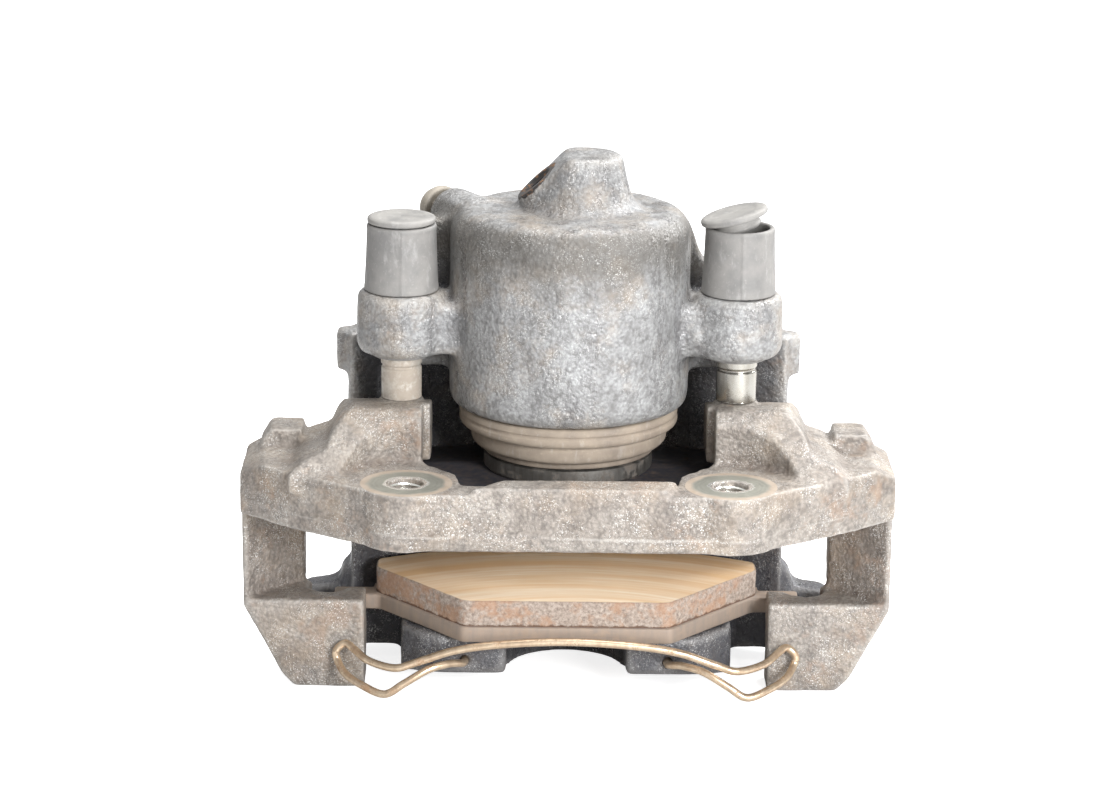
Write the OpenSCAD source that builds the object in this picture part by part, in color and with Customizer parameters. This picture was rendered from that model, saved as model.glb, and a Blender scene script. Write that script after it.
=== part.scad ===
// Floating single-piston brake caliper, standing on its outboard face.
// Frame: origin midway between the two mounting holes, on the mounting face.
// +Z points inboard (up as it stands), +Y radially away from the wheel hub,
// +X along the two mounting holes.

/* [Disc] */
// Radius of the brake disc that the caliper straddles
disc_r = 130; // [128:0.5:132]
// Thickness of the brake disc
disc_t = 22; // [20:0.5:23]
// Distance from the mounting face to the disc's inboard face
disc_offset = 20.4; // [20:0.1:21]
// Distance from the mounting holes to the wheel's axis
hub_distance = 57; // [56:0.5:58]

/* [Cylinder and piston] */
// Diameter of the piston
piston_d = 54; // [53:0.5:54.5]
// Length of the piston
piston_len = 50; // [46:1:52]
// Outer radius of the cylinder casting
cyl_r = 38; // [37:0.25:39]
// Distance from the mounting holes to the piston's axis
piston_y = 47; // [46.5:0.25:47.5]
// Height of the cylinder's open rim above the mounting face
rim_z = 14; // [13:0.5:15]
// Height of the cylinder's crown above the mounting face
crown_z = 77; // [75:0.5:78]

/* [Mounting] */
// Distance between the two mounting holes
mount_spacing = 100; // [98:0.5:102]
// Radius of the tapped mounting holes
mount_hole_r = 5.2; // [5:0.1:6]
// Radius of the machined mounting bosses
mount_boss_r = 15; // [14:0.5:15.5]
// Thickness of the carrier's bar
bar_h = 18; // [17:0.5:19]

/* [Guides] */
// Distance between the two guide pins
guide_spacing = 106; // [105:0.5:107]
// Distance from the mounting holes to the line of the guide pins
guide_y = 39; // [38:0.5:40]
// Radius of the guide pins
pin_r = 6.5; // [6:0.1:6.8]
// Tilt of the guide cap that has worked loose
loose_cap_tilt = 14.4; // [0:0.2:15]

/* [Brake pads] */
// Half of the backplate's width
pad_half_w = 62.5; // [61:0.5:62.5]
// Thickness of the friction lining that is left
lining_t = 8.5; // [6:0.5:9]
// Thickness of the steel backplates
plate_t = 5; // [4.5:0.1:5]

/* [Hidden] */

$fn = 96;
eps = 0.01;
run_gap = 0.05;
part_gap = 0.3;

floor_z = -77.5;
finger_z = -disc_offset - disc_t - lining_t - plate_t - part_gap;
disc_in_z = -disc_offset;
disc_out_z = -disc_offset - disc_t;
inner_plate_z = disc_in_z + lining_t;
piston_end_z = inner_plate_z + plate_t;
outer_plate_z = disc_out_z - lining_t - plate_t;
bridge_r = disc_r + 4;
bridge_t = 13;
bridge_half_w = 70.4;
bridge_top_z = 33;
pocket_depth = 2.5;
corner_relief = 3.3;
guide_x = guide_spacing / 2;
mount_x = mount_spacing / 2;
piston_r = piston_d / 2 - run_gap;

ear_r = 14.3;
ear_z = 31.5;
ear_h = 20.5;
bush_r = 9.5;
pin_top_z = 64.5;
boss_top_z = 17;
pocket_roof_z = -2;
carrier_half_w = 103.4;
pillar_in = 84.6;
// edges of the ledges that the pads' ears rest on
ear_y = 43;
ear_x = 75.8;
block_in = 64.6;
block_top_z = -48;
finger_half_w = 53;
finger_front_y = 19;
notch_r = 19;
finger_tip_z = -68.4;
boot_z = 1.7;

inlet_top_z = 94;
port_at = [-10.8, 49, 85.3];
port_tilt = -42;
port_r = 4.5;
port_depth = 14;
seat_depth = 0.8;
bleed_at = [-38.3, 70.8, 70];
bleed_turn = 120;
bleed_boss_r = 8.3;
bleed_depth = 30;

wire_r = 1.25;
wire_sides = 8;
wire_steps = 2;
// Half of the wire's path, from its middle to the end in the finger's hole
wire_half = [
    [0, 9, -54.4], [20, 9, -55.4], [35, 9, -57.6], [47, 9, -61.6],
    [54, 9, -63.6], [62.5, 15, -63.4], [67.5, 23, -62.4], [70.5, 26.3, -61.6],
    [73.4, 26.3, -64.2], [72.8, 25.4, -67.4], [70, 20, -69.8], [64.4, 12, -70.6],
    [57.2, 8, -72], [51, 8, -68.4], [43.5, 10, -64.4], [37, 13.5, -63.6],
    [32.5, 17.5, -64.6], [32.5, 24, -64.7]
];
wire_path = concat(
    [for (i = [len(wire_half) - 1:-1:1]) [-wire_half[i].x, wire_half[i].y, wire_half[i].z]],
    wire_half
);

// ---------- shapes that repeat ----------

// A point on the arc about the wheel's axis, at a distance x from the middle.
function on_arc(r, x) = [x, sqrt(r * r - x * x) - hub_distance];

// Points along that arc between two distances from the middle.
function arc_between(r, x0, x1, n = 12) = [for (i = [0:n]) on_arc(r, x0 + (x1 - x0) * i / n)];

// Catmull-Rom point between b and c, with a and d as their neighbours.
function spline_at(a, b, c, d, t) =
    0.5 * (2 * b + (c - a) * t + (2 * a - 5 * b + 4 * c - d) * t * t + (3 * b - a - 3 * c + d) * t * t * t);

// Smooth path through the points of p.
function smooth(p, n) = concat(
    [for (i = [0:len(p) - 2], k = [0:n - 1])
        spline_at(p[max(i - 1, 0)], p[i], p[i + 1], p[min(i + 2, len(p) - 1)], k / n)],
    [p[len(p) - 1]]
);

function unit(v) = v / norm(v);

// A round bar of radius r carried along path p.
module wire(p, r, sides) {
    last = len(p) - 1;
    rings = [for (i = [0:last])
        let (
            along = unit(p[min(i + 1, last)] - p[max(i - 1, 0)]),
            side = unit(cross(along, [0.3, 0.2, 1])),
            up = cross(side, along)
        )
        for (k = [0:sides - 1]) p[i] + r * (cos(360 * k / sides) * side + sin(360 * k / sides) * up)];
    walls = [for (i = [0:last - 1], k = [0:sides - 1])
        let (next = (k + 1) % sides)
        [i * sides + k, i * sides + next, (i + 1) * sides + next, (i + 1) * sides + k]];
    first_end = [[for (k = [sides - 1:-1:0]) k]];
    last_end = [[for (k = [0:sides - 1]) last * sides + k]];
    polyhedron(rings, concat(walls, first_end, last_end));
}

// The same thing on both sides of the middle.
module both_sides() {
    children();
    mirror([1, 0, 0]) children();
}

// A vertical wall: an outline in plan between two heights.
module slab(outline, z0, z1) {
    translate([0, 0, z0]) linear_extrude(z1 - z0) polygon(outline);
}

// An outline in the XZ plane, thickened along Y.
module web(outline, y0, y1) {
    translate([0, y1, 0]) rotate([90, 0, 0]) linear_extrude(y1 - y0) polygon(outline);
}

// A box given by its low and high corners.
module block(low, high) {
    translate(low) cube(high - low);
}

// A solid of revolution about a vertical axis.
module turned(at, profile) {
    translate(at) rotate_extrude() polygon(profile);
}

// Plan of a brake pad, grown outwards by g.
function pad_plan(g = 0) = concat(
    [[-33 - g / 2, 12 - g], [33 + g / 2, 12 - g], [pad_half_w + g, 46 - g / 2]],
    arc_between(disc_r - 1 + g, pad_half_w + g, -pad_half_w - g, 24),
    [[-pad_half_w - g, 46 - g / 2]]
);

// ---------- carrier ----------

// Plan of the right half of the bar and arm.
arm_plan = [
    [-eps, -13], [54, -13], [60, -10], [67, -4.5], [75, 1], [82, 5.5], [89, 11],
    [101, 22], [carrier_half_w, 24], [carrier_half_w, 55], [pillar_in, 55], [80, 52],
    [ear_x, 52], [ear_x, ear_y], [62, ear_y], [35, 10.5], [33, -1], [-eps, -1]
];

module carrier_arm() {
    slab(arm_plan, -bar_h, 0);
    translate([mount_x, 0, -bar_h]) cylinder(r = mount_boss_r, h = bar_h);
    // seat of the guide pin, and the scooped, sloping web round it
    translate([guide_x, guide_y, -8]) cylinder(r = pin_r + 0.4, h = boss_top_z + 8);
    difference() {
        intersection() {
            web([
                [43.6, -6], [43.6, 17], [68, 17], [70.8, 14.4], [73.3, 11.6], [74.6, 9], [76, 5.8],
                [82.5, 3.6], [87, 0], [87, -6]
            ], 6, 52);
            rotate([90, 0, 90]) linear_extrude(carrier_half_w)
                polygon([[6, -6], [6, 0], [15, 8], [26, 16.6], [33, 16.9], [50, 13.2], [52, 11], [52, -6]]);
        }
        translate([mount_x, 0, -eps]) cylinder(r = 22, h = 30);
        translate([30, 9, -10]) cube([16, 22, 30]);
    }
    // horn that keeps the inner pad in place
    web([[84.5, -1], [84.5, 5.6], [95, 5.6], [98, 1], [99, -1]], 39, 54);
    // pillar past the disc's edge
    difference() {
        block([pillar_in, 30, block_top_z - eps], [carrier_half_w, 55, -bar_h + eps]);
        translate([0, -hub_distance, -60]) cylinder(r = bridge_r, h = 60, $fn = 180);
    }
    // outboard block that holds the outer pad
    difference() {
        web(
            [[block_in, floor_z], [87, floor_z], [91, -73.5], [carrier_half_w, -50],
             [carrier_half_w, block_top_z], [block_in, block_top_z]],
            29, 49
        );
        block([block_in - 1, ear_y, floor_z - 1], [ear_x, 50, block_top_z + 1]);
        translate([77, 44.5, floor_z - 1]) cylinder(r = 6.3, h = 40);
    }
}

module carrier() {
    color([0.45, 0.42, 0.38]) difference() {
        union() {
            both_sides() carrier_arm();
            // middle of the bar stands a little above the mounting face
            slab([[-30, -12], [30, -12], [33.5, -1], [-20.5, -1]], -5, 2);
            web([[-54, -17], [-54, -13], [54, -13], [54, -17]], -14.2, -12);
        }
        both_sides() {
            translate([mount_x, 0, -bar_h - 1]) cylinder(r = mount_hole_r, h = bar_h + 2);
            translate([guide_x, guide_y, -12]) cylinder(r = 5, h = 40);
            // sloping shoulder at each end of the bar
            web([[96, eps], [carrier_half_w + 1, eps], [carrier_half_w + 1, -4.5]], 0, 60);
        }
        slab(pad_plan(1.6), -bar_h - 1, pocket_roof_z);
        both_sides() block([60, ear_y, -bar_h - 1], [ear_x, 53, pocket_roof_z]);
    }
}

// ---------- housing ----------

// Upright cylinder with its rolled rim and shoulder.
module cylinder_casting() {
    turned([0, piston_y, 0], concat(
        [[0, rim_z], [cyl_r - 4, rim_z]],
        [for (a = [-90:15:0]) [cyl_r - 4 + 4 * cos(a), rim_z + 4 + 4 * sin(a)]],
        [for (a = [0:15:90]) [cyl_r - 7.5 + 7.5 * cos(a), crown_z - 7.5 + 7.5 * sin(a)]],
        [[0, crown_z]]
    ));
}

// A wall that follows the disc's edge, between two distances from the middle.
module bridge_sector(r_in, r_out, x0, x1, z0, z1) {
    slab(concat(arc_between(r_in, x0, x1), arc_between(r_out, x1, x0)), z0, z1);
}

// Bridge over the disc, its shoulders, lugs and wings.
module bridge() {
    difference() {
        bridge_sector(bridge_r, bridge_r + bridge_t, -bridge_half_w, bridge_half_w, floor_z, bridge_top_z);
        // shallow pockets between the ribs of the back
        for (edges = [[-63, -30], [-24, 24], [30, 63]])
            bridge_sector(bridge_r + bridge_t - pocket_depth, bridge_r + bridge_t + 5,
                edges[0], edges[1], -54, 22);
    }
    both_sides() {
        // T-shaped lug on the side of the bridge
        block([68, 60, 3], [71.2, 68, bridge_top_z]);
        block([68, 60, 19.5], [74.8, 68, bridge_top_z]);
        // wing at the outboard corner
        web([
            [67, floor_z], [87.5, floor_z], [87.5, -55.5], [85, -54], [76, -52.6], [74.2, -51],
            [73.6, -47.5], [bridge_half_w, -45], [67, -45]
        ], 60, 72);
        // shoulder between cylinder and bridge
        block([24, 50, 24], [58, 70, 41]);
    }
    // webs behind the guides' sleeves: the left one reaches up to the bleed boss
    web([[-28, 38], [-52, 38], [-50, 62], [-46, 72], [-28, 72]], 52, 60);
    web([[28, 38], [52, 38], [50, 50], [45, 57], [41.8, 60], [39, 68], [37, 72], [28, 72]], 52, 60);
}

// Ear that carries a guide bush.
module ear() {
    turned([guide_x, guide_y, 0], [
        [0, ear_z], [ear_r - 3, ear_z], [ear_r - 0.8, ear_z + 1.6], [ear_r, ear_z + 4],
        [ear_r - 0.4, ear_z + ear_h - 0.8], [ear_r - 1.2, ear_z + ear_h], [0, ear_z + ear_h]
    ]);
    block([28, 31, ear_z + 1], [guide_x, 50, ear_z + ear_h - 3]);
}

// Fingers that press on the outer pad.
module finger_plate() {
    difference() {
        slab(concat([[-finger_half_w, 60], [-finger_half_w, 30], [-46, 22], [-40, finger_front_y],
            [40, finger_front_y], [46, 22], [finger_half_w, 30], [finger_half_w, 60]],
            [[bridge_half_w - 1, 60], [bridge_half_w - 4, 66], [40, 80], [-40, 80],
             [4 - bridge_half_w, 66], [1 - bridge_half_w, 60]]), floor_z, finger_z);
        translate([0, piston_y, floor_z - 1]) cylinder(r = notch_r, h = 40);
        block([-notch_r, 0, floor_z - 1], [notch_r, piston_y, finger_z + 1]);
        // the fingers grow thinner towards their tips
        rotate([90, 0, 90]) translate([0, 0, -finger_half_w - 1]) linear_extrude(2 * finger_half_w + 2)
            polygon([[finger_front_y - 1, floor_z - 1], [finger_front_y - 1, finger_tip_z],
                [finger_front_y + 33, floor_z], [finger_front_y + 33, floor_z - 1]]);
    }
}

// Cast boss for the brake hose, with its slanted port face.
module inlet_boss() {
    difference() {
        union() {
            turned([3.5, 49, 0], [
                [0, crown_z - 6], [19.5, crown_z - 6], [19, crown_z], [16, crown_z + 3],
                [14.5, crown_z + 8], [12.6, inlet_top_z], [0, inlet_top_z]
            ]);
            at_port() translate([0, 0, -14]) cylinder(r = 9, h = 15);
        }
        translate(port_at) rotate([0, port_tilt, 0]) translate([-30, -30, 0]) cube([60, 60, 20]);
    }
}

// Frame of the bleed screw: its Z runs out along the bleed boss.
module at_bleed() {
    translate(bleed_at) rotate([0, 0, bleed_turn]) rotate([0, 90, 0]) children();
}

// Frame of the hose port: its Z runs out of the port.
module at_port() {
    translate(port_at) rotate([0, port_tilt, 0]) children();
}

module housing() {
    color([0.55, 0.53, 0.5]) difference() {
        union() {
            cylinder_casting();
            bridge();
            both_sides() ear();
            finger_plate();
            inlet_boss();
            at_bleed() translate([0, 0, -20]) cylinder(r = bleed_boss_r, h = 20);
        }
        // relief that leaves the fingers and the carrier's blocks to stand on
        both_sides() block([finger_half_w + 0.5, 50, floor_z - 1], [90, 90, floor_z + corner_relief]);
        // room for the dust boot in the bridge's wall
        translate([0, piston_y, boot_z - 3]) cylinder(r = 36, h = rim_z + 3 - boot_z);
        // stepped bore: grooves for the boot and the seal, then the pressure chamber
        turned([0, piston_y, 0], [
            [0, rim_z - 1], [31, rim_z - 1], [31, 18], [27, 18], [27, 24], [30.3, 24],
            [30.3, 28.5], [27, 28.5], [27, 64], [24, 67], [0, 67]
        ]);
        both_sides() translate([guide_x, guide_y, ear_z - 1]) cylinder(r = bush_r, h = ear_h + 2);
        at_port() translate([0, 0, -port_depth]) cylinder(r = port_r, h = port_depth + 1);
        at_port() translate([0, 0, -seat_depth]) cylinder(r = 6.2, h = seat_depth + 1);
        translate([0, piston_y, 60]) cylinder(r = 2, h = 15);
        at_bleed() translate([0, 0, -14]) cylinder(r = 3.5, h = 15);
        // bleed drillings: along the boss, then down into the pressure chamber
        at_bleed() translate([0, 0, -bleed_depth]) cylinder(r = 1.2, h = 20);
        at_bleed() translate([0, 0, 2.2 - bleed_depth]) rotate([0, 90, 0]) cylinder(r = 1, h = 8);
        both_sides() translate([32.5, 30, -64.7]) rotate([90, 0, 0]) cylinder(r = wire_r + 0.5, h = 15);
    }
}

// ---------- hydraulics ----------

module piston() {
    color([0.62, 0.62, 0.6]) turned([0, piston_y, piston_end_z], [
        [21.5, 0], [piston_r - 0.8, 0], [piston_r, 0.8], [piston_r, 5], [piston_r - 1.8, 5.4],
        [piston_r - 1.8, 7.8], [piston_r, 8.2], [piston_r, piston_len - 1.5],
        [piston_r - 1.5, piston_len], [0, piston_len], [0, piston_len - 7], [19.5, piston_len - 7],
        [21.5, piston_len - 10]
    ]);
}

module piston_seal() {
    color([0.12, 0.12, 0.12]) turned([0, piston_y, 0], [
        [27, 24], [30.3, 24], [30.3, 28.5], [27, 28.5]
    ]);
}

// Two stepped folds between the cylinder's rim and the piston's groove.
module dust_boot() {
    lip_z = piston_end_z + 5.7;
    color([0.42, 0.38, 0.33]) turned([0, piston_y, 0], [
        [29.2, rim_z + 2.5], [31, rim_z + 2.5], [31, rim_z - 0.2], [34.2, rim_z - 0.4],
        [34.8, rim_z - 1.4], [34.8, 8.6], [34, 7.6], [31.2, 7.2], [31.2, 2.8], [30.4, boot_z],
        [27.8, boot_z - 0.7], [27.3, lip_z], [25.3, lip_z], [25.3, lip_z + 1.8], [27.05, lip_z + 2.1],
        [28.4, boot_z + 0.9], [29.8, boot_z + 1.7], [29.8, 8.2], [32.8, 8.8], [33.3, 9.4],
        [33.3, rim_z - 1.8], [29.4, rim_z - 1.6]
    ]);
}

module boot_ring() {
    color([0.4, 0.4, 0.4]) turned([0, piston_y, 0], [
        [27.6, 18], [27.6, 14.6], [29.1, 14.6], [29.1, 16.6], [30.9, 16.6], [30.9, 18]
    ]);
}

module bleed_screw() {
    color([0.6, 0.58, 0.5]) at_bleed() difference() {
        union() {
            translate([0, 0, -12]) cylinder(r1 = 1, r2 = 3.4, h = 2.4);
            translate([0, 0, -9.6]) cylinder(r = 3.4, h = 10.2);
            translate([0, 0, part_gap]) cylinder(r = 5.8, h = 4, $fn = 6);
            translate([0, 0, 4]) cylinder(r = 2.6, h = 5.6);
            translate([0, 0, 7]) cylinder(r = 3.1, h = 1.6);
        }
        translate([0, 0, -6]) cylinder(r = 0.8, h = 24);
    }
}

module bleed_cap() {
    color([0.15, 0.15, 0.15]) at_bleed() rotate_extrude() polygon([
        [3.2, 4.6], [6.6, 4.6], [7.2, 5.4], [7.2, 7.6], [6.6, 8.8], [6, 10.4], [4.4, 11.2],
        [0, 11.4], [0, 9.9], [3.2, 9.9]
    ]);
}

// ---------- guides ----------

module guide_pin() {
    color([0.6, 0.58, 0.52]) difference() {
        union() {
            translate([guide_x, guide_y, -1]) cylinder(r = 5, h = boss_top_z + 1);
            translate([guide_x, guide_y, boss_top_z]) cylinder(r = pin_r, h = pin_top_z - boss_top_z);
        }
        translate([guide_x, guide_y, pin_top_z - 8]) cylinder(r = 4.04, h = 9, $fn = 6);
    }
}

module guide_bush() {
    color([0.3, 0.3, 0.3]) turned([guide_x, guide_y, 0], [
        [pin_r + run_gap, ear_z - 0.6], [9.4, ear_z - 0.6], [bush_r, ear_z + 0.4],
        [bush_r, ear_z + ear_h], [11.7, ear_z + ear_h + 0.1], [11.6, 54], [10.9, 72.6],
        [10.5, 73.2], [9.2, 73.2], [9.2, 67], [pin_r + run_gap, 64]
    ]);
}

// Cap that closes a guide bush, on its own axis with its skirt downwards.
module guide_cap_shape() {
    rotate_extrude() polygon([
        [0, 2.2], [9.6, 2.2], [10.6, 1.7], [10.8, 0.2], [10.2, 0], [7.6, 0], [7.4, -1.6],
        [7.9, -2.6], [7.2, -3.6], [6.2, -3.6], [6.2, -0.2], [0, -0.2]
    ]);
}

module guide_cap_left() {
    color([0.3, 0.3, 0.3]) translate([-guide_x, guide_y, 73.5]) guide_cap_shape();
}

module guide_cap_right() {
    color([0.3, 0.3, 0.3]) translate([51.3, guide_y, 75.8]) rotate([0, -loose_cap_tilt, 0])
        guide_cap_shape();
}

// ---------- pads ----------

module backplate(z0) {
    slab(pad_plan(), z0, z0 + plate_t);
    both_sides() block([pad_half_w - 4, ear_y + 0.6, z0], [ear_x - 0.6, 51.5, z0 + plate_t]);
}

module lining(z0) {
    slab(pad_plan(-0.8), z0, z0 + lining_t);
}

module inner_backplate() {
    color([0.4, 0.36, 0.32]) backplate(inner_plate_z);
}

module inner_lining() {
    color([0.5, 0.42, 0.34]) lining(disc_in_z);
}

module outer_backplate() {
    color([0.6, 0.55, 0.48]) backplate(outer_plate_z);
}

module outer_lining() {
    color([0.72, 0.6, 0.42]) lining(outer_plate_z + plate_t);
}

// Three spring fingers that hold the inner pad in the hollow piston.
module piston_clip() {
    color([0.55, 0.55, 0.55]) translate([0, piston_y, piston_end_z]) {
        cylinder(r = 13, h = 1);
        for (a = [90, 210, 330]) rotate([0, 0, a]) {
            translate([10, -4, 0]) cube([10.9, 8, 1]);
            translate([19.9, -4, 0]) cube([1, 8, 14]);
            translate([18.1, -4, 13]) cube([2.8, 8, 1]);
        }
    }
}

module clip_rivets() {
    color([0.5, 0.45, 0.35]) for (x = [-7, 7])
        translate([x, piston_y, piston_end_z + 1]) cylinder(r = 2.6, h = 1.6);
}

module anti_rattle_spring() {
    color([0.75, 0.6, 0.4]) wire(smooth(wire_path, wire_steps), wire_r, wire_sides);
}

housing();
carrier();
piston();
piston_seal();
dust_boot();
boot_ring();
mirror([1, 0, 0]) guide_pin();  // guide_pin_left
guide_pin();  // guide_pin_right
mirror([1, 0, 0]) guide_bush();  // guide_bush_left
guide_bush();  // guide_bush_right
guide_cap_left();
guide_cap_right();
anti_rattle_spring();
inner_backplate();
inner_lining();
piston_clip();
clip_rivets();
outer_backplate();
outer_lining();
bleed_screw();
bleed_cap();
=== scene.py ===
# %% [markdown]
# # A used brake caliper
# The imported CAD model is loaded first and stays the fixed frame: it says where every
# piece is and what moves with what. The cells below give each piece the surface that
# the real one has. All lengths are metres, and every piece keeps its place in its mesh.

# %% The frame
import math

import bmesh
import bpy
import numpy as np
from mathutils import Matrix, Vector


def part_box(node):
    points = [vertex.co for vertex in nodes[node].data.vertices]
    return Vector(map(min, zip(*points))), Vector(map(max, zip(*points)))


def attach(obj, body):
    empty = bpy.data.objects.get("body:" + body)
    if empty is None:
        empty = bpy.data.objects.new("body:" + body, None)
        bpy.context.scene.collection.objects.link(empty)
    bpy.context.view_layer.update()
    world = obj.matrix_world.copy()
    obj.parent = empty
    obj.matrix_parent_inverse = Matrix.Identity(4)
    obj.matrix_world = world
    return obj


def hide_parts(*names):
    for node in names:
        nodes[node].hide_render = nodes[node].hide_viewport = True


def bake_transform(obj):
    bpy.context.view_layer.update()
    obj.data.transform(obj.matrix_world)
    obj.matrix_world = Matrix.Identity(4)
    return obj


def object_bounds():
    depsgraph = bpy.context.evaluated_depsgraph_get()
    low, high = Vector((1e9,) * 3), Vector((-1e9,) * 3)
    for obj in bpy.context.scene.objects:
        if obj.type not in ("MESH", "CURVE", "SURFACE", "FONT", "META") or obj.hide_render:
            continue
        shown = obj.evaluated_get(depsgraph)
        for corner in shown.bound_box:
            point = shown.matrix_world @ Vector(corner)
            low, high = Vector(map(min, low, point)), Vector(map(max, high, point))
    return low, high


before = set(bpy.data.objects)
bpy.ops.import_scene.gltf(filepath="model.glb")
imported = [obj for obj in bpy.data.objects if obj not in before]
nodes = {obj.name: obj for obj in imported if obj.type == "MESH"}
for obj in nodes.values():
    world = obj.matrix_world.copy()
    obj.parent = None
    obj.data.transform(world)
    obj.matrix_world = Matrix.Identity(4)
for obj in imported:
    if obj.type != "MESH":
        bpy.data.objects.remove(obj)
cad_low, cad_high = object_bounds()
scene = bpy.context.scene
MM = 0.001
print("CAD box", [round(v, 4) for v in (*cad_low, *cad_high)])

# %% [markdown]
# ## Camera
# The caliper stands on its outboard face and is seen from the hub side, a little from
# above, through a long lens, so that upright edges stay nearly parallel. The camera is
# placed by its distance and angles from a point a little beside the piston's axis,
# level with the rim of the cylinder, and it is rolled a little.

# %% Camera
piston_low, piston_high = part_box("piston")
axis_y = (piston_low.y + piston_high.y) / 2
rim_z = 14 * MM
look_at = Vector((-5.9 * MM, axis_y, rim_z))
distance = 1.118
pitch, turn, roll = (math.radians(angle) for angle in (15.5, -0.2, 0.65))

camera_data = bpy.data.cameras.new("camera")
camera_data.lens = 114.5
camera = bpy.data.objects.new("camera", camera_data)
scene.collection.objects.link(camera)
scene.camera = camera
camera.location = look_at + distance * Vector(
    (math.sin(turn) * math.cos(pitch), -math.cos(turn) * math.cos(pitch), math.sin(pitch)))
aim = (look_at - camera.location).to_track_quat("-Z", "Y")
camera.rotation_euler = (aim.to_matrix() @ Matrix.Rotation(roll, 3, "Z")).to_euler()

# %% [markdown]
# ## Floor and light
# A pale floor and large soft lights, as in a light tent: one wide panel overhead, one
# at the back right that draws the long highlights on the cylinder, and one at the front
# right. The floor is a lit acrylic sheet: it glows where it is seen directly, so that
# shadows on it stay faint, but it throws no light upwards.
# The view transform is Standard, so that the pale background stays white.

# %% Floor and light
scene.view_settings.view_transform = "Standard"
world = bpy.data.worlds.new("tent")
scene.world = world
world.use_nodes = True
world.node_tree.nodes["Background"].inputs["Color"].default_value = (1, 1, 1, 1)
world.node_tree.nodes["Background"].inputs["Strength"].default_value = 0.52


def area_light(name, at, target, size, power):
    """A square panel of light of the given side and power in watts, aimed at a point."""
    data = bpy.data.lights.new(name, "AREA")
    data.size = size
    data.energy = power
    light = bpy.data.objects.new(name, data)
    light.location = at
    light.rotation_euler = (Vector(target) - Vector(at)).to_track_quat("-Z", "Y").to_euler()
    scene.collection.objects.link(light)


area_light("overhead", (0.1, 0.1, 0.9), (0, 0.03, 0), 0.5, 8)
area_light("back_right", (0.6, 0.5, 0.5), (0, 0.05, 0.03), 0.4, 7)
area_light("front_right", (0.5, -0.95, 0.36), (0, 0, 0), 0.35, 17)

floor_mesh = bpy.data.meshes.new("floor")
floor_half = 3.0
floor_z = cad_low.z - 0.2 * MM
floor_corners = [(x * floor_half, y * floor_half, floor_z)
                 for x, y in ((-1, -1), (1, -1), (1, 1), (-1, 1))]
floor_mesh.from_pydata(floor_corners, [], [(0, 1, 2, 3)])
floor = bpy.data.objects.new("floor", floor_mesh)
scene.collection.objects.link(floor)

# %% [markdown]
# ## Surfaces from arrays
# Most pieces are one of three kinds of surface. A turned piece carries a closed profile
# of radius and height round an axis. A swept piece carries a circle along a path. A
# pressed piece carries a flat outline upwards. All are grids of points, worked out as
# whole arrays, so one function can turn any grid into a mesh.

# %% Grids and meshes
def grid_faces(rows, columns, wrap_rows=True, wrap_columns=True):
    """Four-cornered faces between neighbours of a rows x columns grid of points."""
    r = np.arange(rows if wrap_rows else rows - 1)[:, None]
    c = np.arange(columns if wrap_columns else columns - 1)[None, :]
    r2, c2 = (r + 1) % rows, (c + 1) % columns
    corners = [r * columns + c, r * columns + c2, r2 * columns + c2, r2 * columns + c]
    return np.stack(np.broadcast_arrays(*corners), -1).reshape(-1, 4)


def add_piece(name, points, faces, body, slot, replaced=()):
    """Makes a smooth-shaded mesh piece that rides on a body and may stand for CAD nodes."""
    mesh = bpy.data.meshes.new(name)
    mesh.from_pydata(np.asarray(points, float).reshape(-1, 3).tolist(), [],
                     [list(map(int, f)) for f in faces])
    piece = bpy.data.objects.new(name, mesh)
    scene.collection.objects.link(piece)
    tidy_mesh(piece)
    if isinstance(body, str):
        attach(piece, body)
    else:
        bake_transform(piece)
    if replaced:
        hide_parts(*replaced)
    return piece


def tidy_mesh(piece):
    """Merges doubled points, drops faces with no area and turns every face outwards."""
    work = bmesh.new()
    work.from_mesh(piece.data)
    bmesh.ops.remove_doubles(work, verts=work.verts, dist=2e-6)
    bmesh.ops.dissolve_degenerate(work, edges=work.edges, dist=1e-7)
    bmesh.ops.recalc_face_normals(work, faces=work.faces)
    for face in work.faces:
        face.smooth = True
    work.to_mesh(piece.data)
    work.free()
    piece.data.set_sharp_from_angle(angle=math.radians(42))


def softened(profile, radius, steps=4):
    """A closed outline in mm whose corners are replaced by quadratic curves: each curve
    starts and ends at most `radius` from its corner, and at most 0.45 of the side."""
    p = np.asarray(profile, float)

    def towards(neighbour):
        """For each corner, where the curve leaves the side that leads to a neighbour."""
        side = neighbour - p
        length = np.linalg.norm(side, axis=1)
        return p + side * (np.minimum(radius, 0.45 * length) / length)[:, None]

    start, end = towards(np.roll(p, 1, 0)), towards(np.roll(p, -1, 0))
    t = np.linspace(0, 1, steps + 1)[None, :, None]
    curve = (1 - t) ** 2 * start[:, None] + 2 * t * (1 - t) * p[:, None] + t ** 2 * end[:, None]
    return curve.reshape(-1, p.shape[1])


def turned(profile, centre=(0, 0, 0), segments=128, shape=None):
    """Points of a closed profile (r, z) in mm carried round an upright axis at centre.
    shape(r, z, angle) may change the radius, as for a mould seam. Radius, then angle."""
    p = np.asarray(profile, float)
    angle = np.linspace(0, 2 * np.pi, segments, endpoint=False)
    r, angle = (grid.copy() for grid in np.broadcast_arrays(p[:, :1], angle[None, :]))
    z = np.broadcast_to(p[:, 1:2], r.shape)
    if shape is not None:
        r = shape(r, z, angle)
    points = np.stack([r * np.cos(angle), r * np.sin(angle), z], -1) * MM
    return points + np.asarray(centre, float) * MM, grid_faces(len(p), segments)


def placed(points, place):
    """Points turned and moved by a 4 x 4 matrix."""
    flat = np.asarray(points).reshape(-1, 3)
    return flat @ np.array(place.to_3x3()).T + np.array(place.translation)


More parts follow.
